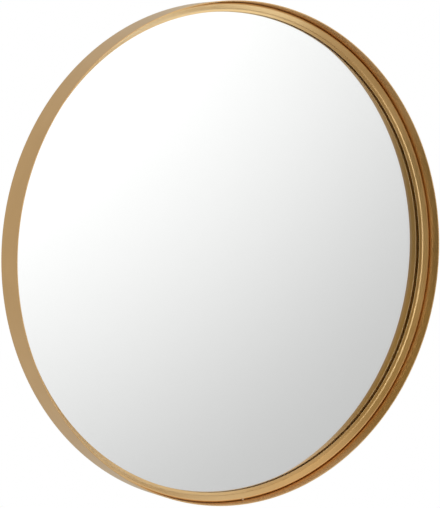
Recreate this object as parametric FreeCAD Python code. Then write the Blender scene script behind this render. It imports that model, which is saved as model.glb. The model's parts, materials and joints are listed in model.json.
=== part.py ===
import FreeCAD, Part
import math
import os

from FreeCAD import Vector

# Round wall mirror with a deep, thin metal hoop and a folded inner bezel.
# Millimetres. The mirror faces -Y, the wall is the plane y = 0 and +Z is up.
# The origin is the centre of the mirror, on the wall.

# Hoop: a flat steel strip bent on edge into a circle
outer_diameter = 600.0
hoop_depth = 38.0
hoop_wall = 1.2

# Bezel: a folded sheet ring that lines the hoop and covers the edge of the glass
bezel_sheet = 0.8
bezel_leg_end_gap = 1.2
shoulder_corner_height = 12.0
shoulder_bend_outside = 1.6
shoulder_flat_count = 4
crest_inset = 7.4
crest_height = 4.9
toe_inset = 10.6
flange_width = 7.2

# Weld that closes the joint of the hoop and ties the bezel to it, near the bottom
weld_width = 2.2
weld_crown = 0.8
weld_angle_from_bottom = 2.2

# Foam strip between the bezel and the glass
gasket_thickness = 0.4
gasket_width = 4.4
gasket_setback = 1.4

# Mirror plate
glass_thickness = 4.0
glass_edge_gap = 4.8
coating_thickness = 0.1
coating_setback = 1.0

# Rubber spacers that centre the glass in the hoop
spacer_count = 6
spacer_length = 30.0
spacer_first_angle = 30.0

# Backing board
board_thickness = 4.0
board_edge_gap = 2.0
back_recess = 2.9

# Steel tabs on the hoop, bent over the back of the board
tab_count = 8
tab_sheet = 1.0
tab_width = 16.0
tab_foot_length = 15.0
tab_bend_outside = 1.6
tab_flat_count = 4
tab_corner_clip = 3.0
tab_first_angle = 22.5

# Hangers: a folded strap with a loop, and a D-shaped wire ring in the loop
hanger_spacing = 340.0
hanger_height = 160.0
strap_sheet = 0.9
strap_width = 10.0
strap_tail = 13.0
strap_joggle_reach = 4.3
ring_wire_radius = 1.1
ring_wire_flat_count = 8
ring_running_clearance = 0.08
ring_inner_width = 20.0
ring_inner_depth = 20.0
ring_corner_radius = 3.0

# Cross-head screws that hold the hangers to the board
screw_radius = 1.75
screw_hole_play = 0.2
screw_head_radius = 3.1
screw_head_height = 1.5
screw_end_cover = 0.5
recess_width = 0.7
recess_reach = 1.6
recess_depth = 0.8

# Square foam rubber pads that keep the mirror off the wall
pad_stand_off = 2.5
pad_side = 12.0
pad_edge_inset = 34.0
pad_rise_angle = 30.0

# How far a cutting shape runs past what it cuts
overrun = 1.0

# Depths from the wall, towards the viewer, worked out from the sizes above
hoop_back = -pad_stand_off
hoop_front = hoop_back - hoop_depth
board_back = hoop_back - back_recess
board_front = board_back - board_thickness
glass_back = board_front - coating_thickness
glass_front = glass_back - glass_thickness

# Radii
hoop_outer_radius = outer_diameter / 2
hoop_inner_radius = hoop_outer_radius - hoop_wall
glass_radius = hoop_inner_radius - glass_edge_gap
board_radius = hoop_inner_radius - tab_sheet - board_edge_gap
toe_radius = hoop_inner_radius - toe_inset

CENTRE = Vector(0, 0, 0)
TO_WALL = Vector(0, 1, 0)
RIGHT = Vector(1, 0, 0)
UP = Vector(0, 0, 1)
FULL_TURN = 360.0


def polygon_face(points):
    """Flat face with straight sides through the points."""
    return Part.Face(Part.makePolygon(points + points[:1]))


def section(points):
    """Face in the plane z = 0 from (radius, y) pairs."""
    return polygon_face([Vector(radius, y, 0) for radius, y in points])


def turned(face):
    """Solid of revolution about the mirror's own axis."""
    return face.revolve(CENTRE, TO_WALL, FULL_TURN)


def turned_part(face, middle_angle, arc_length, radius):
    """Stretch of a turned section, as long as arc_length at the given radius."""
    sweep = math.degrees(arc_length / radius)
    start = face.copy()
    start.rotate(CENTRE, TO_WALL, middle_angle - sweep / 2)
    return start.revolve(CENTRE, TO_WALL, sweep)


def around(first_angle, count):
    """Evenly spaced angles about the mirror's axis, from +X towards -Z."""
    return [first_angle + index * FULL_TURN / count for index in range(count)]


def on_circle(radius, angle, y):
    """Point at an angle about the mirror's axis, in the sense that turned parts use."""
    turn = math.radians(angle)
    return Vector(radius * math.cos(turn), y, -radius * math.sin(turn))


def bend_points(before, corner, after, outside_radius, thickness, flats):
    """Outside and inside points of a round bend that turns left, as the ends of equal flats."""
    along = (corner - before).normalize()
    turn = math.acos(along.dot((after - corner).normalize()))
    to_left = Vector(-along.y, along.x, 0)
    centre = corner - along * (outside_radius * math.tan(turn / 2)) + to_left * outside_radius
    outside, inside = [], []
    for index in range(flats + 1):
        part_turn = turn * index / flats
        outward = along * math.sin(part_turn) - to_left * math.cos(part_turn)
        outside.append(centre + outward * outside_radius)
        inside.append(centre + outward * (outside_radius - thickness))
    return outside, inside


def fold_points(before, corner, after, thickness):
    """Outside and inside point of a sharp fold that turns left."""
    along = (corner - before).normalize()
    mitre = math.tan(math.acos(along.dot((after - corner).normalize())) / 2)
    return [corner], [corner + (Vector(-along.y, along.x, 0) - along * mitre) * thickness]


def folded_sheet(corners, bends, thickness):
    """Section of a folded sheet, with the corners on the outside of bends that all turn left.

    Each bend is a pair of outside radius and number of flats, or None for a sharp fold.
    """
    first, last = (corners[1] - corners[0]).normalize(), (corners[-1] - corners[-2]).normalize()
    outer, inner = [corners[0]], [corners[0] + Vector(-first.y, first.x, 0) * thickness]
    for index, bend in enumerate(bends, start=1):
        turn = corners[index - 1:index + 2]
        if bend is None:
            outside, inside = fold_points(*turn, thickness)
        else:
            outside, inside = bend_points(*turn, bend[0], thickness, bend[1])
        outer += outside
        inner += inside
    outer.append(corners[-1])
    inner.append(corners[-1] + Vector(-last.y, last.x, 0) * thickness)
    return polygon_face(outer + inner[::-1])


def bezel_corners():
    """Corners of the bezel's shown side, from the flange over the glass to the foot of the leg."""
    underside = glass_front - gasket_thickness
    leg_foot = glass_front - bezel_leg_end_gap
    wall = hoop_inner_radius
    return [Vector(toe_radius + flange_width, underside, 0),
            Vector(toe_radius, underside, 0),
            Vector(wall - crest_inset, glass_front - crest_height, 0),
            Vector(wall, glass_front - shoulder_corner_height, 0),
            Vector(wall, leg_foot, 0)]


def outer_hoop():
    """The strip on edge, closed to a circle."""
    return turned(section([
        (hoop_inner_radius, hoop_back), (hoop_inner_radius, hoop_front),
        (hoop_outer_radius, hoop_front), (hoop_outer_radius, hoop_back)]))


def inner_bezel():
    """Flange over the glass, steep inner face, crest, slope, round shoulder and leg along the hoop."""
    shoulder_bend = (shoulder_bend_outside, shoulder_flat_count)
    return turned(folded_sheet(bezel_corners(), [None, None, shoulder_bend], bezel_sheet))


def seam_weld():
    """Bead that fills the groove between the hoop and the bezel's shoulder."""
    crest, shoulder, foot = bezel_corners()[2:]
    bend, _ = bend_points(crest, shoulder, foot, shoulder_bend_outside, bezel_sheet, shoulder_flat_count)
    groove_side = [point for point in bend if point.x > hoop_inner_radius - shoulder_bend_outside]
    crown = groove_side[0].y - weld_crown
    top = [Vector(hoop_inner_radius, crown, 0), Vector(groove_side[0].x, crown, 0)]
    face = polygon_face(top + groove_side)
    bottom_angle = FULL_TURN / 4
    return turned_part(face, bottom_angle - weld_angle_from_bottom, weld_width, hoop_inner_radius)


def glass_gasket():
    """Flat foam ring under the bezel's flange."""
    near = toe_radius + gasket_setback
    far = near + gasket_width
    front = glass_front - gasket_thickness
    return turned(section([(near, front), (far, front), (far, glass_front), (near, glass_front)]))


def mirror_glass():
    """Float glass disc."""
    return turned(section([
        (0, glass_front), (glass_radius, glass_front), (glass_radius, glass_back), (0, glass_back)]))


def silver_coating():
    """Silvering and its protective paint on the back of the glass."""
    edge = glass_radius - coating_setback
    return turned(section([(0, glass_back), (edge, glass_back), (edge, board_front), (0, board_front)]))


def edge_spacer(angle):
    """Rubber block between the edge of the glass and the hoop."""
    face = section([
        (glass_radius, glass_front), (hoop_inner_radius, glass_front),
        (hoop_inner_radius, glass_back), (glass_radius, glass_back)])
    return turned_part(face, angle, spacer_length, hoop_inner_radius)


def retaining_tab(angle):
    """Bent steel tab: a leg on the hoop beside the board and a foot over the board's back.

    The tab is flat across its width, so its leg meets the round hoop along two edges.
    """
    leg_face = math.sqrt(hoop_inner_radius ** 2 - (tab_width / 2) ** 2)
    foot_end = leg_face - tab_foot_length
    outside = board_back + tab_sheet
    corners = [Vector(leg_face, board_front, 0), Vector(leg_face, outside, 0), Vector(foot_end, outside, 0)]
    tab = folded_sheet(corners, [(tab_bend_outside, tab_flat_count)], tab_sheet).extrude(UP * tab_width)
    tab.translate(-UP * (tab_width / 2))
    free_corners = [edge for edge in tab.Edges
                    if edge.BoundBox.XMax < foot_end + tab_sheet and edge.BoundBox.ZLength < tab_sheet]
    tab = tab.makeChamfer(tab_corner_clip, free_corners)
    tab.rotate(CENTRE, TO_WALL, angle)
    return tab


def strap_hole_drop():
    """How far the strap's hole lies below the bar of the ring."""
    return strap_tail - strap_width / 2


def loop_bore():
    """Radius inside the strap's loop."""
    return ring_wire_radius + ring_running_clearance


def loop_axis():
    """Depth of the ring's bar."""
    return board_back + strap_sheet + loop_bore()


def backing_board():
    """Fibreboard disc with a pilot hole for each hanger screw."""
    board = Part.makeCylinder(board_radius, board_thickness, Vector(0, board_front, 0), TO_WALL)
    depth = board_thickness - screw_end_cover
    for side in (-1, 1):
        foot = Vector(side * hanger_spacing / 2, board_back - depth, hanger_height - strap_hole_drop())
        board = board.cut(Part.makeCylinder(screw_radius, depth + overrun, foot, TO_WALL))
    return board


def hanger_strap(side):
    """Folded strap: two layers with a screw hole, and a loop that wraps the bar of the ring."""
    bore, bend = loop_bore(), loop_bore() + strap_sheet
    floor, layer = board_back, board_back + strap_sheet
    top = layer + strap_sheet
    axis = Vector(0, loop_axis(), 0)
    joggle = Vector(0, top, -strap_joggle_reach)
    tail_end = -strap_tail

    # The upper layer leaves the loop on a line through the joggle that touches the loop's outside
    to_axis = axis - joggle
    lift = math.asin(bend / to_axis.Length)
    heading = math.atan2(to_axis.y, to_axis.z) + lift
    rising = Vector(0, math.sin(heading), math.cos(heading))
    outward = Vector(0, math.cos(heading), -math.sin(heading))
    leave_outside, leave_inside = axis + outward * bend, axis + outward * bore
    down_to_layer = (leave_inside.y - layer) / rising.y
    wedge = leave_inside - rising * down_to_layer

    foot, tip = Vector(0, floor, 0), Vector(0, floor, tail_end)
    outline = Part.Wire([
        Part.LineSegment(tip, foot).toShape(),
        Part.Arc(foot, axis + Vector(0, 0, bend), leave_outside).toShape(),
        Part.LineSegment(leave_outside, joggle).toShape(),
        Part.LineSegment(joggle, Vector(0, top, tail_end)).toShape(),
        Part.LineSegment(Vector(0, top, tail_end), tip).toShape()])
    bore_foot = Vector(0, layer, 0)
    eye = Part.Wire([
        Part.LineSegment(wedge, bore_foot).toShape(),
        Part.Arc(bore_foot, axis + Vector(0, 0, bore), leave_inside).toShape(),
        Part.LineSegment(leave_inside, wedge).toShape()])
    strap = Part.Face(outline).extrude(RIGHT * strap_width)
    strap = strap.cut(Part.Face(eye).extrude(RIGHT * strap_width))
    strap.translate(-RIGHT * (strap_width / 2))

    # Round the tail, with its screw hole at the centre of the rounding
    half = strap_width / 2
    hole_centre = Vector(0, floor - overrun, -strap_hole_drop())
    through = top - floor + 2 * overrun
    blank = Part.makeCylinder(half, through, hole_centre, TO_WALL)
    full_reach = bend + overrun
    blank = blank.fuse(Part.makeBox(strap_width, bend * 2 + overrun * 2, strap_hole_drop() + full_reach,
                                    Vector(-half, floor - overrun, -strap_hole_drop())))
    strap = strap.common(blank)
    strap = strap.cut(Part.makeCylinder(screw_radius + screw_hole_play, through,
                                        hole_centre, TO_WALL))
    strap.translate(Vector(side * hanger_spacing / 2, 0, hanger_height))
    return strap


def hanger_ring(side):
    """D-shaped wire ring: a round bar in the strap's loop, and a bow that hangs round the strap's tail."""
    half = ring_inner_width / 2 + ring_wire_radius
    drop = ring_inner_depth + 2 * ring_wire_radius
    corner = ring_corner_radius
    diagonal = corner * (1 - math.sqrt(2) / 2)
    axis = loop_axis()

    def at(x, z):
        return Vector(x, axis, z)

    bar_end = half - corner
    path = Part.Wire([
        Part.Arc(at(bar_end, 0), at(half - diagonal, -diagonal), at(half, -corner)).toShape(),
        Part.LineSegment(at(half, -corner), at(half, half - drop)).toShape(),
        Part.Arc(at(half, half - drop), at(0, -drop), at(-half, half - drop)).toShape(),
        Part.LineSegment(at(-half, half - drop), at(-half, -corner)).toShape(),
        Part.Arc(at(-half, -corner), at(diagonal - half, -diagonal), at(-bar_end, 0)).toShape()])
    wire_end = []
    for index in range(ring_wire_flat_count):
        turn = 2 * math.pi * (index + 1 / 2) / ring_wire_flat_count
        wire_end.append(at(bar_end, 0) + Vector(0, math.cos(turn), math.sin(turn)) * ring_wire_radius)
    bow = path.makePipeShell([Part.makePolygon(wire_end + wire_end[:1])], True, False)
    bar = Part.makeCylinder(ring_wire_radius, 2 * bar_end, at(-bar_end, 0), RIGHT)
    ring = bar.fuse(bow)
    ring.translate(Vector(side * hanger_spacing / 2, 0, hanger_height))
    return ring


def hanger_screw(head_seat):
    """Screw with a cross recess, whose head sits at head_seat and faces the wall."""
    length = 2 * strap_sheet + board_thickness - screw_end_cover
    body = turned(section([
        (0, -length), (screw_radius, -length), (screw_radius, 0), (screw_head_radius, 0),
        (screw_head_radius, screw_head_height), (0, screw_head_height)]))
    for reach_x, reach_z in ((recess_reach, recess_width / 2), (recess_width / 2, recess_reach)):
        corner = Vector(-reach_x, screw_head_height - recess_depth, -reach_z)
        body = body.cut(Part.makeBox(2 * reach_x, recess_depth + overrun, 2 * reach_z, corner))
    body.translate(head_seat)
    return body


def hanger_screws():
    """One screw through each strap into the board."""
    seat_depth = board_back + 2 * strap_sheet
    return Part.makeCompound([
        hanger_screw(Vector(side * hanger_spacing / 2, seat_depth, hanger_height - strap_hole_drop()))
        for side in (-1, 1)])


def wall_pad(side, rise):
    """Square pad on the board that meets the wall, with its place given by the signs of its X and Z."""
    half = pad_side / 2
    place = on_circle(board_radius - pad_edge_inset, pad_rise_angle, 0)
    pad = Part.makeBox(pad_side, -board_back, pad_side, Vector(-half, board_back, -half))
    pad.translate(Vector(side * place.x, 0, -rise * place.z))
    return pad


def all_parts():
    """Every piece by the name of its node."""
    parts = {
        "outer_hoop": outer_hoop(),
        "inner_bezel": inner_bezel(),
        "seam_weld": seam_weld(),
        "glass_gasket": glass_gasket(),
        "mirror_glass": mirror_glass(),
        "silver_coating": silver_coating(),
        "backing_board": backing_board(),
        "hanger_screws": hanger_screws(),
    }
    for number, angle in enumerate(around(spacer_first_angle, spacer_count), start=1):
        parts[f"edge_spacer_{number}"] = edge_spacer(angle)
    for number, angle in enumerate(around(tab_first_angle, tab_count), start=1):
        parts[f"retaining_tab_{number}"] = retaining_tab(angle)
    for number, (side, rise) in enumerate([(1, -1), (-1, -1), (-1, 1), (1, 1)], start=1):
        parts[f"wall_pad_{number}"] = wall_pad(side, rise)
    for name, side in (("left", -1), ("right", 1)):
        parts[f"hanger_strap_{name}"] = hanger_strap(side)
        parts[f"hanger_ring_{name}"] = hanger_ring(side)
    return parts


os.makedirs("parts", exist_ok=True)
for node, shape in all_parts().items():
    shape.exportStep(f"parts/{node}.step")
    print(f"{node}: {len(shape.Solids)} solid, {shape.Volume:.1f} mm3")
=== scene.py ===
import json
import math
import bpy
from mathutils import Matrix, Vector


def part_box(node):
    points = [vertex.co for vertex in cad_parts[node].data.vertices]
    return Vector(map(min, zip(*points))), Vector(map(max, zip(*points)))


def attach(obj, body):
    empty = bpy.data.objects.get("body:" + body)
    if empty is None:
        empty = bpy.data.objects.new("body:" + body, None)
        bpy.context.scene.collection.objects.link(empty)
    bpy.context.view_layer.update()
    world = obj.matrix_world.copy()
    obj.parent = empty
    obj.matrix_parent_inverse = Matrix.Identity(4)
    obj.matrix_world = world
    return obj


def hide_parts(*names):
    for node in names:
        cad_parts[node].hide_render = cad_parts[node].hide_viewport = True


bl_info = {
    "name": "Round Wall Mirror",
    "version": (1, 0, 0),
    "blender": (4, 5, 0),
    "location": "3D View > Sidebar > Mirror",
    "description": "Round wall mirror with a deep gold hoop, a folded bezel, silvered glass and hangers",
    "category": "Mesh",
}

import bmesh
import bpy
from bpy.props import FloatProperty, FloatVectorProperty, IntProperty, PointerProperty
from bpy.types import Operator, Panel, PropertyGroup
from mathutils import Matrix, Vector, noise

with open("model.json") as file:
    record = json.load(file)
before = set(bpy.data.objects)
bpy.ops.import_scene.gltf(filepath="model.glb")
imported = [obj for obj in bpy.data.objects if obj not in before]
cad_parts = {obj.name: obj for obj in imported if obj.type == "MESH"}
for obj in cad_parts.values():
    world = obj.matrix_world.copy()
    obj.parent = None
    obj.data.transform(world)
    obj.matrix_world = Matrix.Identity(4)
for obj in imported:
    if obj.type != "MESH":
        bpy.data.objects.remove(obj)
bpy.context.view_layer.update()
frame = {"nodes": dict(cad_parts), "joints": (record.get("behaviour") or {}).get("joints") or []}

MM = 0.001
BODY = "frame"
SIDES = ("left", "right")


# Measures read from the frame, in metres

def reach(node):
    """Least and greatest distance of a node's points from the mirror's own axis."""
    radii = [math.hypot(vertex.co.x, vertex.co.z) for vertex in frame["nodes"][node].data.vertices]
    return min(radii), max(radii)


def depths(node):
    """Depth of a node's front and back face."""
    low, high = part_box(node)
    return low.y, high.y


def nodes_named(start):
    """Names of the frame's nodes that begin alike, in order."""
    return sorted(name for name in frame["nodes"] if name.startswith(start))


def angle_of(node):
    """Angle of a node's middle about the mirror's axis, from +X towards -Z."""
    low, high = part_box(node)
    middle = (low + high) / 2
    return math.atan2(-middle.z, middle.x)


# Colours, nodes and materials

def linear(hex_code):
    """Linear red, green and blue of an sRGB hex colour."""
    channels = [int(hex_code[place:place + 2], 16) / 255 for place in (1, 3, 5)]
    return tuple(c / 12.92 if c <= 0.04045 else ((c + 0.055) / 1.055) ** 2.4 for c in channels)


def add_node(tree, kind, links=None, **settings):
    """Adds a node; links gives an input's name or number a socket to join or a value to hold."""
    node = tree.nodes.new(kind)
    for name, value in settings.items():
        setattr(node, name, value)
    for name, value in (links or {}).items():
        socket = node.inputs[name]
        if isinstance(value, bpy.types.NodeSocket):
            tree.links.new(value, socket)
        else:
            socket.default_value = value
    return node


def new_material(name, **shader_values):
    """Material with one Principled shader, its node tree, its shader and the object's own coordinates."""
    material = bpy.data.materials.new(name)
    material.use_nodes = True
    tree = material.node_tree
    tree.nodes.clear()
    values = {key.replace("_", " "): value for key, value in shader_values.items()}
    shader = add_node(tree, "ShaderNodeBsdfPrincipled", values)
    add_node(tree, "ShaderNodeOutputMaterial", {"Surface": shader.outputs["BSDF"]})
    place = add_node(tree, "ShaderNodeTexCoord").outputs["Object"]
    return material, tree, shader, place


NOISE_RANGE = (0.3, 0.7)


def grain(tree, place, feature_size, detail=2.0, roughness=0.5, stretch=(1, 1, 1), heading=0.0):
    """Noise that mostly stays in NOISE_RANGE, with blotches about feature_size across, in metres.

    Stretch draws the blotches out along each axis, and heading turns them about Y.
    """
    scaled = add_node(tree, "ShaderNodeMapping", {
        "Vector": place, "Rotation": (0, heading, 0), "Scale": [feature_size * s for s in stretch]},
        vector_type="TEXTURE")
    return add_node(tree, "ShaderNodeTexNoise", {
        "Vector": scaled.outputs["Vector"], "Scale": 1.0, "Detail": detail,
        "Roughness": roughness}).outputs["Fac"]


def blend_by(tree, pattern, first, second, usual=NOISE_RANGE, share=(0, 1)):
    """Colour between two others, each a linear colour or a socket, that changes with a pattern.

    The pattern's usual range is drawn out to a share of the way from the first colour to the second.
    """
    part = add_node(tree, "ShaderNodeMapRange", {
        "Value": pattern, "From Min": usual[0], "From Max": usual[1],
        "To Min": share[0], "To Max": share[1]}).outputs["Result"]
    ends = [end if isinstance(end, bpy.types.NodeSocket) else (*end, 1) for end in (first, second)]
    return add_node(tree, "ShaderNodeMix", {"Factor": part, "A": ends[0], "B": ends[1]},
                    data_type="RGBA").outputs["Result"]


def times(colour, factor):
    """Linear colour with its light multiplied by a factor."""
    return tuple(factor * channel for channel in colour)


def cover(tree, shader, colour, wear=None, roughness=(0, 1), usual=NOISE_RANGE, relief=None, height=0.0):
    """Gives a shader its colour, a roughness that changes with wear and a relief of a height in metres."""
    tree.links.new(colour, shader.inputs["Base Color"])
    if wear is not None:
        rough = add_node(tree, "ShaderNodeMapRange", {
            "Value": wear, "From Min": usual[0], "From Max": usual[1],
            "To Min": roughness[0], "To Max": roughness[1]})
        tree.links.new(rough.outputs["Result"], shader.inputs["Roughness"])
    if relief is not None:
        raised = add_node(tree, "ShaderNodeBump", {"Height": relief, "Distance": height, "Strength": 1.0})
        tree.links.new(raised.outputs["Normal"], shader.inputs["Normal"])


def satin_gold_lacquer(colours):
    """Tinted lacquer sprayed over plated steel: a metal's coloured gloss, softened to satin.

    The spray leaves a faint unevenness of tone over a hand's width and the finest orange peel.
    """
    material, tree, shader, place = new_material(
        "satin_gold_lacquer_on_steel", Metallic=1.0, Coat_Weight=0.2, Coat_Roughness=0.12, Coat_IOR=1.5)
    tone = grain(tree, place, 60 * MM)
    satin, unevenness = colours.gold_roughness, 0.02
    cover(tree, shader, blend_by(tree, tone, colours.gold, colours.gold_deep),
          wear=grain(tree, place, 9 * MM), roughness=(satin - unevenness, satin + unevenness),
          relief=grain(tree, place, 4 * MM, detail=1.0), height=0.0004 * MM)
    return material


def lacquered_weld_painted_glint(colours):
    """Weld bead under the same lacquer, uneven and rippled, with a painted glint: its colour is painted
    paler and pinker than the sheet's gold.
    """
    material, tree, shader, place = new_material("lacquered_weld_bead_painted_glint", Metallic=0.55)
    tone = grain(tree, place, 0.8 * MM)
    ripple = grain(tree, place, 0.5 * MM)
    # Painted glint: the paler, pinker weld colour is mixed into the lacquer's own gold.
    cover(tree, shader, blend_by(tree, tone, colours.weld, colours.gold),
          wear=ripple, roughness=(0.35, 0.5), relief=ripple, height=0.05 * MM)
    return material


def clear_float_glass(colours):
    """Float glass, cast flat on molten tin: clear and smooth, faintly green where light runs along it."""
    material, tree, shader, place = new_material(
        "clear_float_glass", Transmission_Weight=1.0, IOR=1.52, Roughness=0.0)
    radius = add_node(tree, "ShaderNodeVectorMath", {0: place}, operation="LENGTH").outputs["Value"]
    edge, green_band = reach("mirror_glass")[1], 2 * MM
    colour = blend_by(tree, radius, colours.glass, colours.glass_edge, usual=(edge - green_band, edge))
    cover(tree, shader, colour)
    return material


def mirror_silvering(colours):
    """Silver laid wet on the back of the glass, under grey paint: a sharp neutral reflection in front.

    The paint shows on the faces that look backwards or sideways, with the marks of its roller.
    """
    material, tree, shader, place = new_material("wet_laid_mirror_silvering")
    normal = add_node(tree, "ShaderNodeNewGeometry").outputs["True Normal"]
    backward = add_node(tree, "ShaderNodeSeparateXYZ", {"Vector": normal}).outputs["Y"]
    least_backward, whole = -0.5, (0, 1)
    painted = add_node(tree, "ShaderNodeMath", {0: backward, 1: least_backward},
                       operation="GREATER_THAN").outputs["Value"]
    silvered = add_node(tree, "ShaderNodeMath", {0: 1.0, 1: painted}, operation="SUBTRACT").outputs["Value"]
    rolled = grain(tree, place, 3 * MM, stretch=(6, 1, 1))
    paint = blend_by(tree, rolled, colours.backing_paint, times(colours.backing_paint, 0.8), usual=whole)
    cover(tree, shader, blend_by(tree, painted, colours.silver, paint, usual=whole),
          wear=painted, roughness=(0, 0.5), usual=whole)
    tree.links.new(silvered, shader.inputs["Metallic"])
    return material


FIBRE_HEADINGS = (8, 41, 77, 112, 149)
FIBRE_RANGE = (0.52, 0.74)


def fibreboard(colours):
    """Pressed and sanded wood fibre: matt and even, with short fibres, dark and light, that lie every way.

    Real fibres are about 0.2 mm thick, and are drawn 0.5 mm thick so that they show at all. They are the
    highest of several grains, one to each heading in degrees, and so stay mostly in FIBRE_RANGE.
    """
    material, tree, shader, place = new_material("sanded_fibreboard")
    layers = [grain(tree, place, 0.5 * MM, roughness=0.6, stretch=(5, 5, 1), heading=math.radians(degrees))
              for degrees in FIBRE_HEADINGS]
    fibres = layers[0]
    for layer in layers[1:]:
        fibres = add_node(tree, "ShaderNodeMath", {0: fibres, 1: layer},
                          operation="MAXIMUM").outputs["Value"]
    clouds = grain(tree, place, 40 * MM, detail=3.0)
    light = blend_by(tree, clouds, colours.board, times(colours.board, 0.88))
    colour = blend_by(tree, fibres, light, colours.board_dark, usual=FIBRE_RANGE, share=(0.25, 0.65))
    cover(tree, shader, colour, wear=fibres, roughness=(0.9, 0.78), usual=FIBRE_RANGE,
          relief=fibres, height=0.05 * MM)
    return material


def foam_rubber(colours):
    """Closed-cell foam rubber: near black and matt, with small pores.

    Real pores are about 0.3 mm wide, and are drawn 0.6 mm wide so that they show at all.
    """
    material, tree, shader, place = new_material("black_foam_rubber")
    pore = 0.6 * MM
    pores = add_node(tree, "ShaderNodeTexVoronoi", {"Vector": place, "Scale": 1 / pore}).outputs["Distance"]
    worn = grain(tree, place, 4 * MM)
    cover(tree, shader, blend_by(tree, worn, colours.rubber, colours.rubber_dusty),
          wear=worn, roughness=(0.75, 0.92), relief=pores, height=0.1 * MM)
    return material


def foam_with_painted_gap_tone(colours):
    """Closed-cell foam tape, matt, with fine cells. Its orange-brown is painted reflected light: it gives
    the dark gap under the bezel's lip the warm tone of gold reflected into it.

    Real cells are about 0.3 mm wide, and are drawn 0.6 mm wide so that they show at all.
    """
    material, tree, shader, place = new_material("foam_tape_with_painted_gap_tone")
    cells = grain(tree, place, 0.6 * MM)
    # Painted reflection: the foam colour brings the gold's warm reflected light into the gap's shade.
    cover(tree, shader, blend_by(tree, cells, colours.foam, times(colours.foam, 0.8)),
          wear=cells, roughness=(0.7, 0.9), relief=cells, height=0.05 * MM)
    return material


def zinc_plate(colours):
    """Steel pressed or drawn to shape and zinc plated: a cool soft gloss with cloudy blotches."""
    material, tree, shader, place = new_material("zinc_plated_steel", Metallic=1.0)
    clouds = grain(tree, place, 3 * MM, detail=3.0)
    cover(tree, shader, blend_by(tree, clouds, colours.zinc, colours.zinc_dull),
          wear=clouds, roughness=(0.24, 0.4), relief=grain(tree, place, 0.4 * MM), height=0.01 * MM)
    return material


def matt_backdrop(colours):
    """Matt painted studio floor, even but for the roller's fine nap."""
    material, tree, shader, place = new_material("matt_painted_floor", Roughness=0.9)
    patches = grain(tree, place, 400 * MM)
    cover(tree, shader, blend_by(tree, patches, colours.floor, times(colours.floor, 0.97)),
          relief=grain(tree, place, 2 * MM), height=0.1 * MM)
    return material


FINISHES = {
    "gold_lacquer": satin_gold_lacquer,
    "weld": lacquered_weld_painted_glint,
    "float_glass": clear_float_glass,
    "silvering": mirror_silvering,
    "fibreboard": fibreboard,
    "black_rubber": foam_rubber,
    "foam_with_painted_gap_tone": foam_with_painted_gap_tone,
    "zinc_plate": zinc_plate,
    "floor": matt_backdrop,
}
made_finishes = {}


def finish(name):
    """The material of a finish, made when it is first asked for."""
    if name not in made_finishes:
        made_finishes[name] = FINISHES[name](bpy.context.scene.mirror_colours)
    return made_finishes[name]


# Shapes

# Turn between the points of a bend, and of the fine rounding on the hoop's rims
BEND_STEP = math.radians(9)
RIM_STEP = math.radians(18)


def circle(radius, y, steps, centre=(0, 0)):
    """Points round a circle that faces along Y."""
    turns = [2 * math.pi * step / steps for step in range(steps)]
    return [Vector((centre[0] + radius * math.cos(t), y, centre[1] + radius * math.sin(t))) for t in turns]


def skin(name, loops, closed):
    """Mesh through loops of equally many points, joined end to end if closed, or else capped."""
    count = len(loops[0])
    faces = []
    for here in range(len(loops) if closed else len(loops) - 1):
        there = (here + 1) % len(loops)
        for side in range(count):
            following = (side + 1) % count
            faces.append((here * count + side, here * count + following,
                          there * count + following, there * count + side))
    if not closed:
        faces += [range(count), range((len(loops) - 1) * count, len(loops) * count)]
    mesh = bpy.data.meshes.new(name)
    mesh.from_pydata([point for loop in loops for point in loop], [], faces)
    return mesh


def turned(name, outline, steps, closed, centre=(0, 0)):
    """Turned form about an axis along Y, from (radius, y) points."""
    return skin(name, [circle(radius, y, steps, centre) for radius, y in outline], closed)


def rounded(corners, closed, arc_step=BEND_STEP):
    """Outline with its corners rounded. Each corner is (first place, second place, radius of its arc)."""
    outline = []
    for index, (first, second, radius) in enumerate(corners):
        corner = Vector((first, second))
        at_end = not closed and index in (0, len(corners) - 1)
        if radius == 0 or at_end:
            outline.append(corner)
            continue
        before = Vector(corners[index - 1][:2])
        after = Vector(corners[(index + 1) % len(corners)][:2])
        arriving, leaving = (corner - before).normalized(), (after - corner).normalized()
        turn = arriving.angle_signed(leaving)
        side = math.copysign(1, turn)
        towards_centre = Vector((arriving.y, -arriving.x)) * side
        start = corner - arriving * radius * math.tan(abs(turn) / 2)
        centre = start + towards_centre * radius
        steps = max(2, math.ceil(abs(turn) / arc_step))
        for step in range(steps + 1):
            part = abs(turn) * step / steps
            spoke = arriving * math.sin(part) - towards_centre * math.cos(part)
            outline.append(centre + spoke * radius)
    return outline


def other_side(corners, thickness):
    """Corners of the other side of a folded sheet, to the left of the line through these corners."""
    points = [Vector(corner[:2]) for corner in corners]
    moved = []
    for index, (point, corner) in enumerate(zip(points, corners)):
        arriving = (point - points[max(index - 1, 0)]).normalized()
        leaving = (points[min(index + 1, len(points) - 1)] - point).normalized()
        if index in (0, len(points) - 1):
            heading = leaving if index == 0 else arriving
            moved.append((*(point + Vector((-heading.y, heading.x)) * thickness), 0))
            continue
        left_turn = -arriving.angle_signed(leaving)
        place = point + (Vector((-arriving.y, arriving.x)) - arriving * math.tan(left_turn / 2)) * thickness
        moved.append((*place, max(corner[2] - math.copysign(thickness, left_turn), 0)))
    return moved


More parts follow.
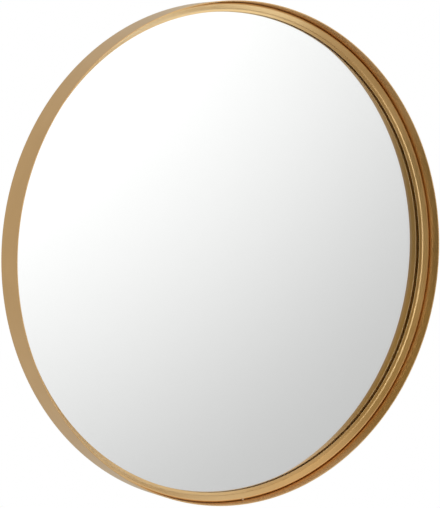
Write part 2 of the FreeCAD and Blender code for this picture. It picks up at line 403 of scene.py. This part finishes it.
def add_piece(name, mesh, finish_name, nodes, body=BODY, smooth_angle=30, weighted=True):
    """Puts a mesh in the scene as a piece that rides on its body and stands for nodes of the frame."""
    shape = bmesh.new()
    shape.from_mesh(mesh)
    bmesh.ops.recalc_face_normals(shape, faces=shape.faces)
    shape.to_mesh(mesh)
    shape.free()
    mesh.shade_smooth()
    mesh.set_sharp_from_angle(angle=math.radians(smooth_angle))
    piece = bpy.data.objects.new(name, mesh)
    bpy.context.scene.collection.objects.link(piece)
    piece.data.materials.append(finish(finish_name))
    if weighted:
        piece.modifiers.new("even_faces", "WEIGHTED_NORMAL").keep_sharp = True
    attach(piece, body)
    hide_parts(*nodes)
    return piece


def dress(node, finish_name):
    """Gives a node of the frame that stays in view its finish."""
    mesh = frame["nodes"][node].data
    mesh.materials.clear()
    mesh.materials.append(finish(finish_name))


def cut(piece, cutter_mesh):
    """Cuts a shape out of a piece for good."""
    cutter = bpy.data.objects.new("cutter", cutter_mesh)
    bpy.context.scene.collection.objects.link(cutter)
    boolean = piece.modifiers.new("cut", "BOOLEAN")
    boolean.object, boolean.operation, boolean.solver = cutter, "DIFFERENCE", "EXACT"
    piece.modifiers.move(piece.modifiers.find("cut"), 0)
    bpy.context.view_layer.update()
    with bpy.context.temp_override(object=piece, active_object=piece, selected_objects=[piece]):
        bpy.ops.object.modifier_apply(modifier="cut")
    bpy.data.objects.remove(cutter)


# Sizes and colours that a user would change

def length(name, description, millimetres):
    """Length property whose default is given in millimetres."""
    return FloatProperty(name=name, description=description, default=millimetres * MM, min=0, unit="LENGTH",
                         subtype="DISTANCE", precision=5)


def angle(name, description, degrees):
    """Angle property whose default is given in degrees."""
    return FloatProperty(name=name, description=description, default=math.radians(degrees), subtype="ANGLE")


def tint(name, description, hex_code):
    """Colour property whose default is an sRGB hex colour."""
    return FloatVectorProperty(name=name, description=description, default=linear(hex_code), size=3,
                               min=0, max=1, subtype="COLOR")


class MirrorSizes(PropertyGroup):
    turn_steps: IntProperty(
        name="Steps round", description="Faces round the hoop and the bezel", default=720, min=32)
    rim_rounding: length("Rim rounding", "Radius on the edges of the hoop's strip", 0.3)
    bezel_sheet: length("Bezel sheet", "Thickness of the bezel's folded sheet", 0.8)
    crest_inset: length("Crest inset", "How far inside the hoop the bezel's crest lies", 7.4)
    crest_height: length("Crest height", "Height of the crest over the glass", 4.9)
    shoulder_height: length("Shoulder height", "Height over the glass where the slope meets the hoop", 12.0)
    lip_bend: length("Lip bend", "Outside radius of the folded lip beside the glass", 0.8)
    lip_height: length("Lip height", "Height of the lip's upright face", 1.25)
    lip_reach: length("Lip reach", "How far the rounded lip stands inside the frame's sharp one", 0.2)
    lip_angle: angle("Lip flank", "Rise of the lip towards the steep face, from the glass", 36)
    steep_angle: angle("Steep face", "Rise of the steep face below the crest, from the glass", 60)
    valley_bend: length("Valley bend", "Radius between the lip's flank and the steep face", 0.4)
    crest_bend: length("Crest bend", "Outside radius of the crest", 6.0)
    shoulder_bend: length("Shoulder bend", "Outside radius of the shoulder beside the hoop", 1.8)
    leg_gap: length("Leg gap", "Shadow gap between the bezel's leg and the hoop", 0.25)
    weld_swell: length("Weld swell", "How far the bead swells past its flat-sided form in the frame", 0.7)
    contact_gap: length("Contact gap", "Clear space that keeps touching faces from flickering", 0.01)
    glass_arris: length("Glass arris", "Width ground off the edges of the glass", 0.4)
    board_rounding: length("Board edge", "Rounding of the sanded edges of the back", 0.5)
    tab_sheet: length("Tab sheet", "Thickness of the retaining tabs", 1.0)
    tab_bend: length("Tab bend", "Outside radius of the tabs' bend", 1.6)
    tab_clip: length("Tab corner", "Length clipped off the corners of a tab's foot", 3.0)
    tab_softness: length("Tab edge", "Rounding of the tabs' edges", 0.2)
    strap_sheet: length("Strap sheet", "Thickness of the hanger straps", 0.9)
    strap_joggle: length("Strap joggle", "How far below the ring's bar the strap's layers meet", 4.3)
    strap_softness: length("Strap edge", "Rounding of the straps' edges", 0.15)
    strap_tip: length("Strap tip", "Half the width of the flat at the end of a strap's tail", 0.6)
    screw_shank: length("Screw shank", "Radius of the hanger screws' shank", 1.5)
    recess_reach: length("Recess reach", "Half the length of a blade of the screws' cross recess", 1.8)
    recess_width: length("Recess width", "Width of a blade of the screws' cross recess", 0.8)
    recess_depth: length("Recess depth", "Depth of the screws' cross recess", 1.0)
    ring_wire: length("Ring wire", "Radius of the hanger rings' wire", 1.1)
    ring_play: length("Ring play", "Clearance between the ring's bar and the strap's loop", 0.08)
    ring_corner: length("Ring corner", "Radius at the ends of the ring's bar", 3.0)
    pad_rounding: length("Pad edge", "Rounding of the wall pads' edges", 0.8)


class MirrorColours(PropertyGroup):
    gold: tint("Gold", "Lacquer where it is thin", "#E1B780")
    gold_deep: tint("Deep gold", "Lacquer where it is thicker", "#DAB079")
    gold_roughness: FloatProperty(
        name="Gold roughness", description="Satin of the lacquer", default=0.30, min=0.05, max=1,
        subtype="FACTOR")
    # Painted glint on the weld bead, paler and pinker than its lacquer's own gold.
    weld: tint("Weld", "Bead at the seam", "#F4E0CE")
    glass: tint("Glass", "Float glass seen through its faces", "#FDFEFD")
    glass_edge: tint("Glass edge", "Float glass seen through its edge", "#BFE0D0")
    silver: tint("Silver", "Reflecting face of the coating", "#F6F6F6")
    backing_paint: tint("Backing paint", "Paint on the back of the silver", "#6F757B")
    board: tint("Board", "Fibreboard", "#B08D66")
    board_dark: tint("Board fibres", "Darker fibres in the board", "#7A5C3E")
    rubber: tint("Rubber", "Foam rubber", "#1C1B1A")
    rubber_dusty: tint("Dusty rubber", "Foam rubber that has picked up dust", "#2E2C2A")
    # Painted reflected light: this orange-brown gives the dark gap under the lip the warm tone of gold
    # reflected into it.
    foam: tint("Foam tape", "Brown foam tape between the bezel and the glass", "#DC8A1A")
    zinc: tint("Zinc", "Bright zinc plate", "#D3D6D8")
    zinc_dull: tint("Dull zinc", "Cloudy zinc plate", "#A9AEB2")
    floor: tint("Floor", "Studio floor", "#F4F3F1")


# Pieces

class MIRROR_OT_hoop(Operator):
    """Strip of steel on edge, rolled to a circle, with the burr taken off its edges"""
    bl_idname = "mirror.hoop"
    bl_label = "Outer hoop"

    def execute(self, context):
        sizes = context.scene.mirror_sizes
        inside, outside = reach("outer_hoop")
        front, back = depths("outer_hoop")
        edge = sizes.rim_rounding
        outline = rounded([(inside, back, edge), (inside, front, edge),
                           (outside, front, edge), (outside, back, edge)], closed=True, arc_step=RIM_STEP)
        mesh = turned("hoop_strip", outline, sizes.turn_steps, closed=True)
        add_piece("hoop_strip", mesh, "gold_lacquer", ["outer_hoop"])
        return {"FINISHED"}


def bezel_corners(sizes):
    """Corners of the bezel's shown side as (radius, y, bend), from its flange to the foot of its leg."""
    bezel = [(math.hypot(v.co.x, v.co.z), v.co.y) for v in frame["nodes"]["inner_bezel"].data.vertices]
    toe, wall = reach("inner_bezel")
    glass = depths("mirror_glass")[0]
    underside = depths("glass_gasket")[0]
    sheet = sizes.bezel_sheet
    foot = max(y for radius, y in bezel if radius > wall - sheet / 2)
    flange_end = max(radius for radius, y in bezel
                     if y > underside - sheet / 2 and radius < wall - 2 * sheet)
    crest = (wall - sizes.crest_inset, glass - sizes.crest_height)
    lip, lip_top = toe - sizes.lip_reach, underside - sizes.lip_height
    leg = wall - sizes.leg_gap
    rise, steep = math.tan(sizes.lip_angle), math.tan(sizes.steep_angle)
    valley = (steep * (crest[0] - lip) - (lip_top - crest[1])) / (steep - rise)
    return [(flange_end, underside, 0), (lip, underside, sizes.lip_bend), (lip, lip_top, sizes.lip_bend),
            (lip + valley, lip_top - rise * valley, sizes.valley_bend), (*crest, sizes.crest_bend),
            (leg, glass - sizes.shoulder_height, sizes.shoulder_bend), (leg, foot, 0)]


class MIRROR_OT_bezel(Operator):
    """Sheet ring folded to a flange, a lip, a steep face, a crest, a slope, a shoulder and a leg"""
    bl_idname = "mirror.bezel"
    bl_label = "Inner bezel"

    def execute(self, context):
        sizes = context.scene.mirror_sizes
        corners = bezel_corners(sizes)
        outline = rounded(corners + other_side(corners, sizes.bezel_sheet)[::-1], closed=True)
        mesh = turned("bezel_ring", outline, sizes.turn_steps, closed=True)
        add_piece("bezel_ring", mesh, "gold_lacquer", ["inner_bezel"])
        return {"FINISHED"}


# Form of the weld bead at the bottom of the hoop. Its swell is shared out along the hoop, in depth and
# across the groove, and lifts it towards the middle of the mirror. A ripple is (share of the bead's size,
# fineness).
WELD_SWELL_SHARES = Vector((0.3, 1, 1))
WELD_LIFT = Vector((0, 0, 0.6))
WELD_SQUARENESS = 0.8
WELD_RIPPLES = ((0.1, 1.7), (0.04, 5))


class MIRROR_OT_weld(Operator):
    """Bead that bridges the groove between the hoop and the bezel's shoulder, where the hoop is joined"""
    bl_idname = "mirror.weld"
    bl_label = "Seam weld"

    def execute(self, context):
        swell = context.scene.mirror_sizes.weld_swell
        low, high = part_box("seam_weld")
        middle = (low + high) / 2 + WELD_LIFT * swell
        half = (high - low) / 2 + WELD_SWELL_SHARES * swell
        bead = bmesh.new()
        bmesh.ops.create_icosphere(bead, subdivisions=5, radius=1)
        for vertex in bead.verts:
            blob = vertex.co.copy()
            squared = Vector([math.copysign(abs(part) ** WELD_SQUARENESS, part) for part in blob])
            ripple = 1 + sum(share * noise.noise(blob * fineness) for share, fineness in WELD_RIPPLES)
            vertex.co = middle + Vector([squared[axis] * half[axis] * min(ripple, 1) for axis in range(3)])
        mesh = bpy.data.meshes.new("weld_bead")
        bead.to_mesh(mesh)
        bead.free()
        add_piece("weld_bead", mesh, "weld", ["seam_weld"],
                  smooth_angle=180, weighted=False)
        return {"FINISHED"}


class MIRROR_OT_glass(Operator):
    """Mirror plate with ground edges, its silvering, the foam in front of it and the spacers round it"""
    bl_idname = "mirror.glass"
    bl_label = "Glass and silvering"

    def execute(self, context):
        sizes = context.scene.mirror_sizes
        front, back = depths("mirror_glass")
        coating_back = depths("silver_coating")[1]
        radius = reach("mirror_glass")[1] - sizes.contact_gap
        arris = sizes.glass_arris
        near, far = front + sizes.contact_gap, (back + coating_back) / 2
        outline = [(radius - arris, near), (radius, near + arris),
                   (radius, far - arris), (radius - arris, far)]
        mesh = turned("glass_plate", outline, sizes.turn_steps // 2, closed=False)
        add_piece("glass_plate", mesh, "float_glass", ["mirror_glass"], weighted=False)
        dress("silver_coating", "silvering")
        dress("glass_gasket", "foam_with_painted_gap_tone")
        for node in nodes_named("edge_spacer"):
            dress(node, "black_rubber")
        return {"FINISHED"}


class MIRROR_OT_board(Operator):
    """Fibreboard disc behind the glass, with sanded edges"""
    bl_idname = "mirror.board"
    bl_label = "Backing board"

    def execute(self, context):
        sizes = context.scene.mirror_sizes
        front, back = depths("backing_board")
        radius = reach("backing_board")[1]
        edge = sizes.board_rounding
        outline = rounded([(radius - 2 * edge, front, 0), (radius, front, edge),
                           (radius, back, edge), (radius - 2 * edge, back, 0)], closed=False)
        mesh = turned("board_disc", outline, sizes.turn_steps // 2, closed=False)
        add_piece("board_disc", mesh, "fibreboard", ["backing_board"])
        return {"FINISHED"}


def bent_strip(name, outside, inside, half_widths, place):
    """Strip of sheet along a path, with the two sides of its section and half its width at each point.

    Place turns (along X, along Y, along Z) of the strip's own frame into the mirror's frame.
    """
    loops = []
    for outer, inner, half in zip(outside, inside, half_widths):
        loops.append([place((outer, -half)), place((outer, half)),
                      place((inner, half)), place((inner, -half))])
    return skin(name, loops, closed=False)


def in_turned_frame(node, around):
    """Lowest and highest corner of a node, once it is turned back by its angle about the mirror's axis."""
    back = Matrix.Rotation(-around, 3, "Y")
    points = [back @ vertex.co for vertex in frame["nodes"][node].data.vertices]
    return [Vector([pick(point[axis] for point in points) for axis in range(3)]) for pick in (min, max)]


class MIRROR_OT_tabs(Operator):
    """Sheet tabs on the hoop, bent over the back of the board"""
    bl_idname = "mirror.tabs"
    bl_label = "Retaining tabs"

    def execute(self, context):
        sizes = context.scene.mirror_sizes
        for node in nodes_named("retaining_tab"):
            self.add_tab(node, sizes)
        return {"FINISHED"}

    def add_tab(self, node, sizes):
        around = angle_of(node)
        low, high = in_turned_frame(node, around)
        bend, sheet, clip = sizes.tab_bend, sizes.tab_sheet, sizes.tab_clip
        clip_start = low.x + clip
        outer = [(high.x, low.y, 0), (high.x, high.y, bend), (clip_start, high.y, 0), (low.x, high.y, 0)]
        inner = [(high.x - sheet, low.y, 0), (high.x - sheet, high.y - sheet, bend - sheet),
                 (clip_start, high.y - sheet, 0), (low.x, high.y - sheet, 0)]
        outside, inside = rounded(outer, closed=False), rounded(inner, closed=False)
        half = (high.z - low.z) / 2
        half_widths = [half] * (len(outside) - 1) + [half - clip]
        turn = Matrix.Rotation(around, 3, "Y")
        mesh = bent_strip(node, outside, inside, half_widths,
                          lambda spot: turn @ Vector((spot[0].x, spot[0].y, spot[1])))
        name = node.replace("retaining_tab", "bent_tab")
        piece = add_piece(name, mesh, "gold_lacquer", [node])
        soften(piece, sizes.tab_softness)


# Faces across a softened edge, and the least turn of an edge that is softened
SOFT_EDGE_FACES = 3
SHARP_EDGE = math.radians(40)


def soften(piece, width):
    """Rounds the sharp edges of a piece."""
    bevel = piece.modifiers.new("soft_edges", "BEVEL")
    bevel.width = width
    bevel.segments = SOFT_EDGE_FACES
    bevel.limit_method = "ANGLE"
    bevel.angle_limit = SHARP_EDGE
    bevel.use_clamp_overlap = True
    piece.modifiers.move(piece.modifiers.find("soft_edges"), 0)


def bar_axis(side):
    """Point on the axis that a hanger ring swings about."""
    joint = next(joint for joint in frame["joints"] if joint["name"] == f"ring_{side}_swing")
    return Vector(joint["pos_m"])


# Steps round the end of a strap's tail, and round its loop
TAIL_STEPS = 8
LOOP_STEPS = 24


def strap_path(sizes, floor, tail_end, tail_radius, axis):
    """Both sides of the strap's section as (y, z) points: up the board, round the bar and down again."""
    bore = sizes.ring_wire + sizes.ring_play
    bend = bore + sizes.strap_sheet
    layer, top = floor + sizes.strap_sheet, floor + 2 * sizes.strap_sheet
    joggle = Vector((top, axis.z - sizes.strap_joggle))
    centre = Vector((axis.y, axis.z))
    to_axis = centre - joggle
    sweep = math.pi + math.atan2(to_axis.x, to_axis.y) + math.asin(bend / to_axis.length)
    turns = [sweep * step / LOOP_STEPS for step in range(LOOP_STEPS + 1)]
    rays = [Vector((-math.cos(turn), math.sin(turn))) for turn in turns]
    turns = [math.pi / 2 * step / TAIL_STEPS for step in range(TAIL_STEPS + 1)]
    tail = [tail_end + tail_radius * (1 - math.cos(turn)) for turn in turns]
    outer = [Vector((floor, z)) for z in tail] + [centre + ray * bend for ray in rays]
    inner = [Vector((layer, z)) for z in tail] + [centre + ray * bore for ray in rays]
    outer += [joggle] + [Vector((top, z)) for z in reversed(tail)]
    inner += [Vector((layer, joggle.y))] + [Vector((layer, z)) for z in reversed(tail)]
    return outer, inner


# Steps round a screw
SCREW_STEPS = 48


class MIRROR_OT_hangers(Operator):
    """Folded hanger straps with a loop round the ring's bar, and the cross-head screws that hold them"""
    bl_idname = "mirror.hangers"
    bl_label = "Hanger straps and screws"

    def execute(self, context):
        sizes = context.scene.mirror_sizes
        for side in SIDES:
            self.add_strap(side, sizes)
        self.add_screws(sizes)
        return {"FINISHED"}

    def add_strap(self, side, sizes):
        node = f"hanger_strap_{side}"
        low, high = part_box(node)
        axis = bar_axis(side)
        half = (high.x - low.x) / 2
        outer, inner = strap_path(sizes, low.y, low.z, half, axis)
        rounding = low.z + half
        half_widths = []
        for point in outer:
            below = max(rounding - point.y, 0)
            half_widths.append(max(math.sqrt(max(half ** 2 - below ** 2, 0)), sizes.strap_tip))
        mesh = bent_strip(node, outer, inner, half_widths,
                          lambda spot: Vector((axis.x + spot[1], spot[0].x, spot[0].y)))
        piece = add_piece(f"folded_strap_{side}", mesh, "zinc_plate", [node])
        soften(piece, sizes.strap_softness)

    def add_screws(self, sizes):
        """Turns both screws, which are one node of the frame: the left screw replaces it."""
        low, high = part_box("hanger_screws")
        head, crown, shank = (high.z - low.z) / 2, high.y, sizes.screw_shank
        tip, crown_flat = shank / 4, head / 4
        for side in SIDES:
            strap_low, strap_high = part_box(f"hanger_strap_{side}")
            centre = (bar_axis(side).x, strap_low.z + (strap_high.x - strap_low.x) / 2)
            seat = strap_low.y + 2 * sizes.strap_sheet
            dome = (crown - seat) / 2
            rim = dome / 5
            outline = rounded([(tip, low.y, 0), (shank, low.y + shank, 0), (shank, seat, 0),
                               (head, seat, rim), (head, seat + dome, dome), (crown_flat, crown, 0)],
                              closed=False)
            mesh = turned(f"pan_head_screw_{side}", outline, SCREW_STEPS, closed=False, centre=centre)
            nodes = ["hanger_screws"] if side == SIDES[0] else []
            piece = add_piece(f"pan_head_screw_{side}", mesh, "zinc_plate", nodes)
            for turn in (0, math.pi / 2):
                cut(piece, blade_cutter(centre, crown, turn, sizes))
            if not piece.data.vertices:
                raise RuntimeError(f"{piece.name} is empty after its recess is cut")


# Length of a blade of the recess at its bottom, as a share of that at its top
RECESS_TAPER = 0.45


def blade_cutter(centre, crown, turn, sizes):
    """One tapered blade of the cross recess that a driver's tip fits, as a closed mesh."""
    cutter = bmesh.new()
    depth, long_half, short_half = sizes.recess_depth, sizes.recess_reach, sizes.recess_width / 2
    for vertex in bmesh.ops.create_cube(cutter, size=2)["verts"]:
        on_top = vertex.co.y > 0
        taper = 1 if on_top else RECESS_TAPER
        y = crown + depth / 2 if on_top else crown - depth
        across = Vector((vertex.co.x * long_half * taper, 0, vertex.co.z * short_half * (1 + taper) / 2))
        vertex.co = Matrix.Rotation(turn, 3, "Y") @ across + Vector((centre[0], y, centre[1]))
    mesh = bpy.data.meshes.new("blade_cutter")
    cutter.to_mesh(mesh)
    cutter.free()
    return mesh


# Steps round a ring's bow, and round its wire
BOW_STEPS = 48
WIRE_STEPS = 24


class MIRROR_OT_rings(Operator):
    """Round wire bent to a D, which swings in the strap's loop"""
    bl_idname = "mirror.rings"
    bl_label = "Hanger rings"

    def execute(self, context):
        sizes = context.scene.mirror_sizes
        for side in SIDES:
            self.add_ring(side, sizes)
        return {"FINISHED"}

    def add_ring(self, side, sizes):
        node = f"hanger_ring_{side}"
        low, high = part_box(node)
        axis = bar_axis(side)
        wire, corner = sizes.ring_wire, sizes.ring_corner
        half = (high.x - low.x) / 2 - wire
        drop = axis.z - (low.z + wire)
        leg = 2 * corner
        path = rounded([(-half, -leg, 0), (-half, 0, corner), (half, 0, corner), (half, -leg, 0)],
                       closed=False)
        for step in range(BOW_STEPS + 1):
            turn = math.pi * step / BOW_STEPS
            path.append(Vector((half * math.cos(turn), half - drop - half * math.sin(turn))))
        loops = []
        for index, point in enumerate(path):
            heading = (path[(index + 1) % len(path)] - path[index - 1]).normalized()
            outward = Vector((-heading.y, heading.x))
            loop = []
            for step in range(WIRE_STEPS):
                turn = 2 * math.pi * step / WIRE_STEPS
                flat = point + outward * wire * math.cos(turn)
                loop.append(Vector((axis.x + flat.x, axis.y + wire * math.sin(turn), axis.z + flat.y)))
            loops.append(loop)
        mesh = skin(node, loops, closed=True)
        add_piece(f"wire_ring_{side}", mesh, "zinc_plate", [node], body=f"ring_{side}",
                  smooth_angle=180, weighted=False)


class MIRROR_OT_pads(Operator):
    """Die-cut foam rubber squares that keep the hoop off the wall"""
    bl_idname = "mirror.pads"
    bl_label = "Wall pads"

    def execute(self, context):
        sizes = context.scene.mirror_sizes
        for node in nodes_named("wall_pad"):
            low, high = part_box(node)
            centre, half = (low + high) / 2, (high.x - low.x) / 2
            soft, waist = sizes.pad_rounding, sizes.pad_rounding / 8
            inset, crisp, bulge = 2 * soft, soft / 4, 8 * soft
            levels = rounded([(half - inset, low.y, 0), (half, low.y, crisp),
                              (half - waist, centre.y, bulge),
                              (half, high.y, soft), (half - inset, high.y, 0)], closed=False)
            loops = []
            for reach_out, y in levels:
                square = [(-reach_out, -reach_out), (reach_out, -reach_out),
                          (reach_out, reach_out), (-reach_out, reach_out)]
                ring = rounded([(x, z, inset) for x, z in square], closed=True)
                loops.append([Vector((centre.x + x, y, centre.z + z)) for x, z in ring])
            mesh = skin(node, loops, closed=False)
            name = node.replace("wall_pad", "foam_pad")
            add_piece(name, mesh, "black_rubber", [node])
        return {"FINISHED"}


# Stage: floor, surroundings and camera

# The floor is a level disc below the mirror: its sizes in metres, and the number of its sides
FLOOR_DROP = 1.5
FLOOR_RADIUS = 1.8
FLOOR_THICKNESS = 0.01
FLOOR_STEPS = 128

# The camera's place in metres, its fall and its turn to the right of straight ahead in degrees, and its
# lens and sensor in millimetres
CAMERA_PLACE = (-1.2805, -1.9574, 0.1651)
CAMERA_FALL = 4.074
CAMERA_TURN = 33.066
CAMERA_LENS = 138.0
CAMERA_SENSOR = 36


def towards(azimuth, elevation):
    """Unit vector of a direction: azimuth 0 is straight in front of the mirror, and + is to the right."""
    a, e = math.radians(azimuth), math.radians(elevation)
    return Vector((math.sin(a) * math.cos(e), -math.cos(a) * math.cos(e), math.sin(e)))


# Soft patches of the studio as the mirror sees it: name, azimuth, elevation, radius of the even middle and
# radius of the faded edge, in degrees, brightness and tint. Later patches lie over earlier ones.
PATCHES = (
    ("pale wall in front", 33, -4, 12, 26, 0.60, "#FFFFFF"),
    ("white wall at the right, low", 82, -48, 22, 35, 1.80, "#E2F1FA"),
    ("white wall at the right, high", 90, 38, 20, 42, 1.16, "#E8F1F4"),
    ("lit ceiling", 35, 79, 3, 24, 1.10, "#F4EEDC"),
    ("dim room behind the camera", -45, -14, 17, 36, 0.29, "#FFF0BC"),
    ("dim floor behind the camera", -16, -49, 9, 20, 0.36, "#FFF4D0"),
    ("dim wall above the camera", -32, 30, 18, 36, 0.34, "#FFEDB0"),
    ("dim middle behind the camera", -33, -5, 6, 15, 0.23, "#FFF0BC"),
    ("dark corner at the left", -80, -2, 20, 26, 0.15, "#FFF0BC"),
    ("dark corner at the left, high", -85, 36, 16, 29, 0.12, "#FFF4D0"),
    ("dark corner at the left, low", -66, -31, 12, 20, 0.12, "#FFF4D0"),
    ("soft box in front", 19, 11, 1, 28.5, 1.32, "#FFFFFF"),
)
BASE_LIGHT = 0.60
BASE_TINT = "#FFFDF0"

# Upright strip light: azimuth, half widths of its even middle and faded edge, how far above and below
# the horizon its ends fade, and half the breadth of that fade, in degrees, then its brightness and tint
STRIP_AZIMUTH = -69
STRIP_HALF_WIDTH = (2.2, 4.4)
STRIP_TOP = 56
STRIP_FADE = 22
STRIP_LIGHT = 4.1
STRIP_TINT = "#EEFAFF"


def in_view(tree, heading, outside, inside, folded=False):
    """Share of a patch in each direction of the world, from the cosine between it and a heading.

    The share is 0 up to the outside cosine and 1 from the inside one. Folded looks both ways at once.
    """
    direction = add_node(tree, "ShaderNodeTexCoord").outputs["Generated"]
    cosine = add_node(tree, "ShaderNodeVectorMath", {0: direction, 1: heading},
                      operation="DOT_PRODUCT").outputs["Value"]
    if folded:
        cosine = add_node(tree, "ShaderNodeMath", {0: cosine}, operation="ABSOLUTE").outputs["Value"]
    return add_node(tree, "ShaderNodeMapRange", {
        "Value": cosine, "From Min": outside, "From Max": inside, "To Min": 0.0, "To Max": 1.0},
        interpolation_type="SMOOTHSTEP").outputs["Result"]


def cosine_of(degrees):
    """Cosine of an angle in degrees."""
    return math.cos(math.radians(degrees))


def paint_surroundings(tree):
    """World colour: soft patches on an even grey, and one upright strip light."""
    lights = []
    for name, azimuth, elevation, middle, edge, brightness, tint_code in PATCHES:
        share = in_view(tree, towards(azimuth, elevation), cosine_of(edge), cosine_of(middle))
        lights.append((name, share, brightness, tint_code))
    near, far = (math.sin(math.radians(width)) for width in STRIP_HALF_WIDTH)
    in_width = in_view(tree, towards(STRIP_AZIMUTH + 90, 0), far, near, folded=True)
    in_height = in_view(tree, towards(STRIP_AZIMUTH, 0),
                        cosine_of(STRIP_TOP + STRIP_FADE), cosine_of(STRIP_TOP - STRIP_FADE))
    strip = add_node(tree, "ShaderNodeMath", {0: in_width, 1: in_height},
                     operation="MULTIPLY").outputs["Value"]
    lights.append(("strip light", strip, STRIP_LIGHT, STRIP_TINT))
    seen = (*times(linear(BASE_TINT), BASE_LIGHT), 1)
    for name, share, brightness, tint_code in lights:
        lit = (*times(linear(tint_code), brightness), 1)
        seen = add_node(tree, "ShaderNodeMix", {"Factor": share, "A": seen, "B": lit},
                        data_type="RGBA", label=name).outputs["Result"]
    return seen


class MIRROR_OT_stage(Operator):
    """Pale floor, soft studio surroundings and the camera"""
    bl_idname = "mirror.stage"
    bl_label = "Stage"

    def execute(self, context):
        scene = context.scene
        scene.view_settings.view_transform = "Standard"
        self.add_floor(scene)
        self.add_world(scene)
        self.add_camera(scene)
        return {"FINISHED"}

    def add_floor(self, scene):
        mesh = turned("studio_floor", [(FLOOR_RADIUS, 0), (FLOOR_RADIUS, -FLOOR_THICKNESS)],
                      FLOOR_STEPS, closed=False)
        level = Matrix.Rotation(math.pi / 2, 4, "X")
        mesh.transform(Matrix.Translation((0, 0, -FLOOR_DROP)) @ level)
        floor = bpy.data.objects.new("studio_floor", mesh)
        scene.collection.objects.link(floor)
        mesh.materials.append(finish("floor"))
        floor.visible_glossy = False

    def add_world(self, scene):
        world = bpy.data.worlds.new("soft_studio")
        scene.world = world
        world.use_nodes = True
        tree = world.node_tree
        tree.nodes.clear()
        surroundings = paint_surroundings(tree)
        lit = add_node(tree, "ShaderNodeBackground", {"Color": surroundings})
        backdrop = add_node(tree, "ShaderNodeBackground", {"Color": (1, 1, 1, 1)})
        seen = add_node(tree, "ShaderNodeLightPath").outputs["Is Camera Ray"]
        chosen = add_node(tree, "ShaderNodeMixShader", {
            0: seen, 1: lit.outputs["Background"], 2: backdrop.outputs["Background"]})
        add_node(tree, "ShaderNodeOutputWorld", {"Surface": chosen.outputs["Shader"]})

    def add_camera(self, scene):
        lens = bpy.data.cameras.new("camera")
        lens.lens = CAMERA_LENS
        lens.sensor_width = CAMERA_SENSOR
        camera = bpy.data.objects.new("camera", lens)
        scene.collection.objects.link(camera)
        camera.location = CAMERA_PLACE
        camera.rotation_euler = (math.radians(90 - CAMERA_FALL), 0, math.radians(-CAMERA_TURN))
        scene.camera = camera


class MIRROR_PT_build(Panel):
    """Steps that build the mirror, and its sizes and colours"""
    bl_idname = "MIRROR_PT_build"
    bl_label = "Round Wall Mirror"
    bl_space_type = "VIEW_3D"
    bl_region_type = "UI"
    bl_category = "Mirror"

    def draw(self, context):
        for step in STEPS:
            self.layout.operator(step.bl_idname)
        for group in (context.scene.mirror_sizes, context.scene.mirror_colours):
            box = self.layout.box()
            for name in group.__annotations__:
                box.prop(group, name)


STEPS = (MIRROR_OT_hoop, MIRROR_OT_bezel, MIRROR_OT_weld, MIRROR_OT_glass, MIRROR_OT_board, MIRROR_OT_tabs,
         MIRROR_OT_hangers, MIRROR_OT_rings, MIRROR_OT_pads, MIRROR_OT_stage)
CLASSES = (MirrorSizes, MirrorColours, *STEPS, MIRROR_PT_build)


def register():
    for cls in CLASSES:
        bpy.utils.register_class(cls)
    bpy.types.Scene.mirror_sizes = PointerProperty(type=MirrorSizes)
    bpy.types.Scene.mirror_colours = PointerProperty(type=MirrorColours)


def unregister():
    del bpy.types.Scene.mirror_colours
    del bpy.types.Scene.mirror_sizes
    for cls in reversed(CLASSES):
        bpy.utils.unregister_class(cls)


def main():
    register()
    for step in STEPS:
        group, name = step.bl_idname.split(".")
        getattr(getattr(bpy.ops, group), name)()


if __name__ == "__main__":
    main()
